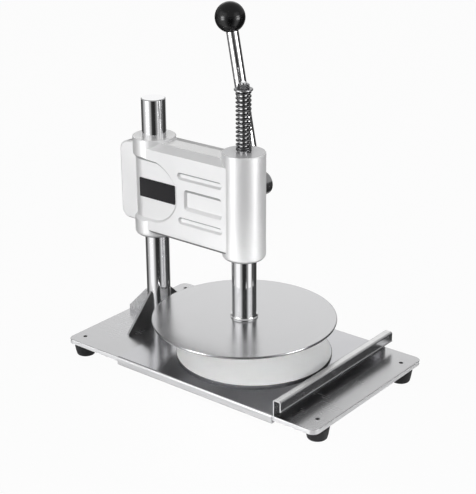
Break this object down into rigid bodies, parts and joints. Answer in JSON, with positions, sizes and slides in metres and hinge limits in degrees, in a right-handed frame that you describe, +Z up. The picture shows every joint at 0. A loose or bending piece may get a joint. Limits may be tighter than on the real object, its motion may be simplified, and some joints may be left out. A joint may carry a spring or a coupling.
{
  "type": "pizza dough press",
  "caption": "Countertop lever press: a ball-topped lever turns a pinion that lowers a rod and round plate towards a plate on a slide-out tray; a coil spring lifts the rod again.",
  "frame": {"origin": "on the surface the feet stand on, under the middle of the base plate", "axes": "+Z up along the column; +X from the column towards the user and the tray's pull; +Y towards the lever's side"},
  "size_m": [0.406, 0.2428, 0.4634],
  "materials": {
    "base_steel": "satin",
    "foot_rubber": "matte",
    "fastener_steel": "satin",
    "chrome_bar": "polished",
    "gusset_steel": "satin",
    "head_aluminium": "fine satin",
    "black_plate": "satin",
    "bearing_brass": "turned",
    "cap_aluminium": "turned satin",
    "spring_steel": "bright",
    "chrome_shaft": "ground",
    "gear_steel": "machined",
    "chrome_hub": "polished",
    "chrome_lever": "polished",
    "black_knob": "gloss",
    "chrome_rod": "polished",
    "chrome_ring": "polished",
    "satin_disc": "satin",
    "washer_steel": "satin",
    "tray_steel": "mirror polished",
    "lower_disc_steel": "satin"
  },
  "bodies": {
    "base": {"base_plate": "base_steel", "feet": "foot_rubber", "foot_screws": "fastener_steel", "column": "chrome_bar", "column_bolt": "fastener_steel", "column_washer": "fastener_steel", "side_gussets": "gusset_steel", "rear_gusset": "gusset_steel"},
    "head": {"head_casting": "head_aluminium", "clamp_screws": "fastener_steel", "name_plate": "black_plate", "inner_bush": "bearing_brass", "bearing_cap": "cap_aluminium", "cap_screws": "fastener_steel", "return_spring": "spring_steel"},
    "lever": {"pinion_shaft": "chrome_shaft", "drive_pinion": "gear_steel", "pinion_pin": "fastener_steel", "lever_hub": "chrome_hub", "hub_grub_screw": "fastener_steel", "lever_rod": "chrome_lever", "lever_knob": "black_knob"},
    "ram": {"press_rod": "chrome_rod", "rod_foot_ring": "chrome_ring", "press_disc": "satin_disc", "disc_screw": "fastener_steel", "spring_washer": "washer_steel", "spindle_nut": "washer_steel"},
    "tray": {"slide_tray": "tray_steel", "lower_disc": "lower_disc_steel"}
  },
  "joints": [
    {"name": "head_height", "type": "slide", "parent": "base", "child": "head", "axis": [0, 0, 1], "range_m": [0, 0.03]},
    {"name": "lever_hinge", "type": "hinge", "parent": "head", "child": "lever", "pos_m": [-0.0242, 0, 0.229], "axis": [0, 1, 0], "range_deg": [0, 120.9]},
    {"name": "ram_slide", "type": "slide", "parent": "head", "child": "ram", "axis": [0, 0, -1], "range_m": [0, 0.038], "stiffness_N_per_m": 2900, "springref_m": -0.015, "deforming": ["return_spring"]},
    {"name": "tray_slide", "type": "slide", "parent": "base", "child": "tray", "axis": [1, 0, 0], "range_m": [-0.016, 0.205]}
  ],
  "couplings": [
    {"joint": "ram_slide", "follows": "lever_hinge", "m_per_rad": 0.018}
  ]
}
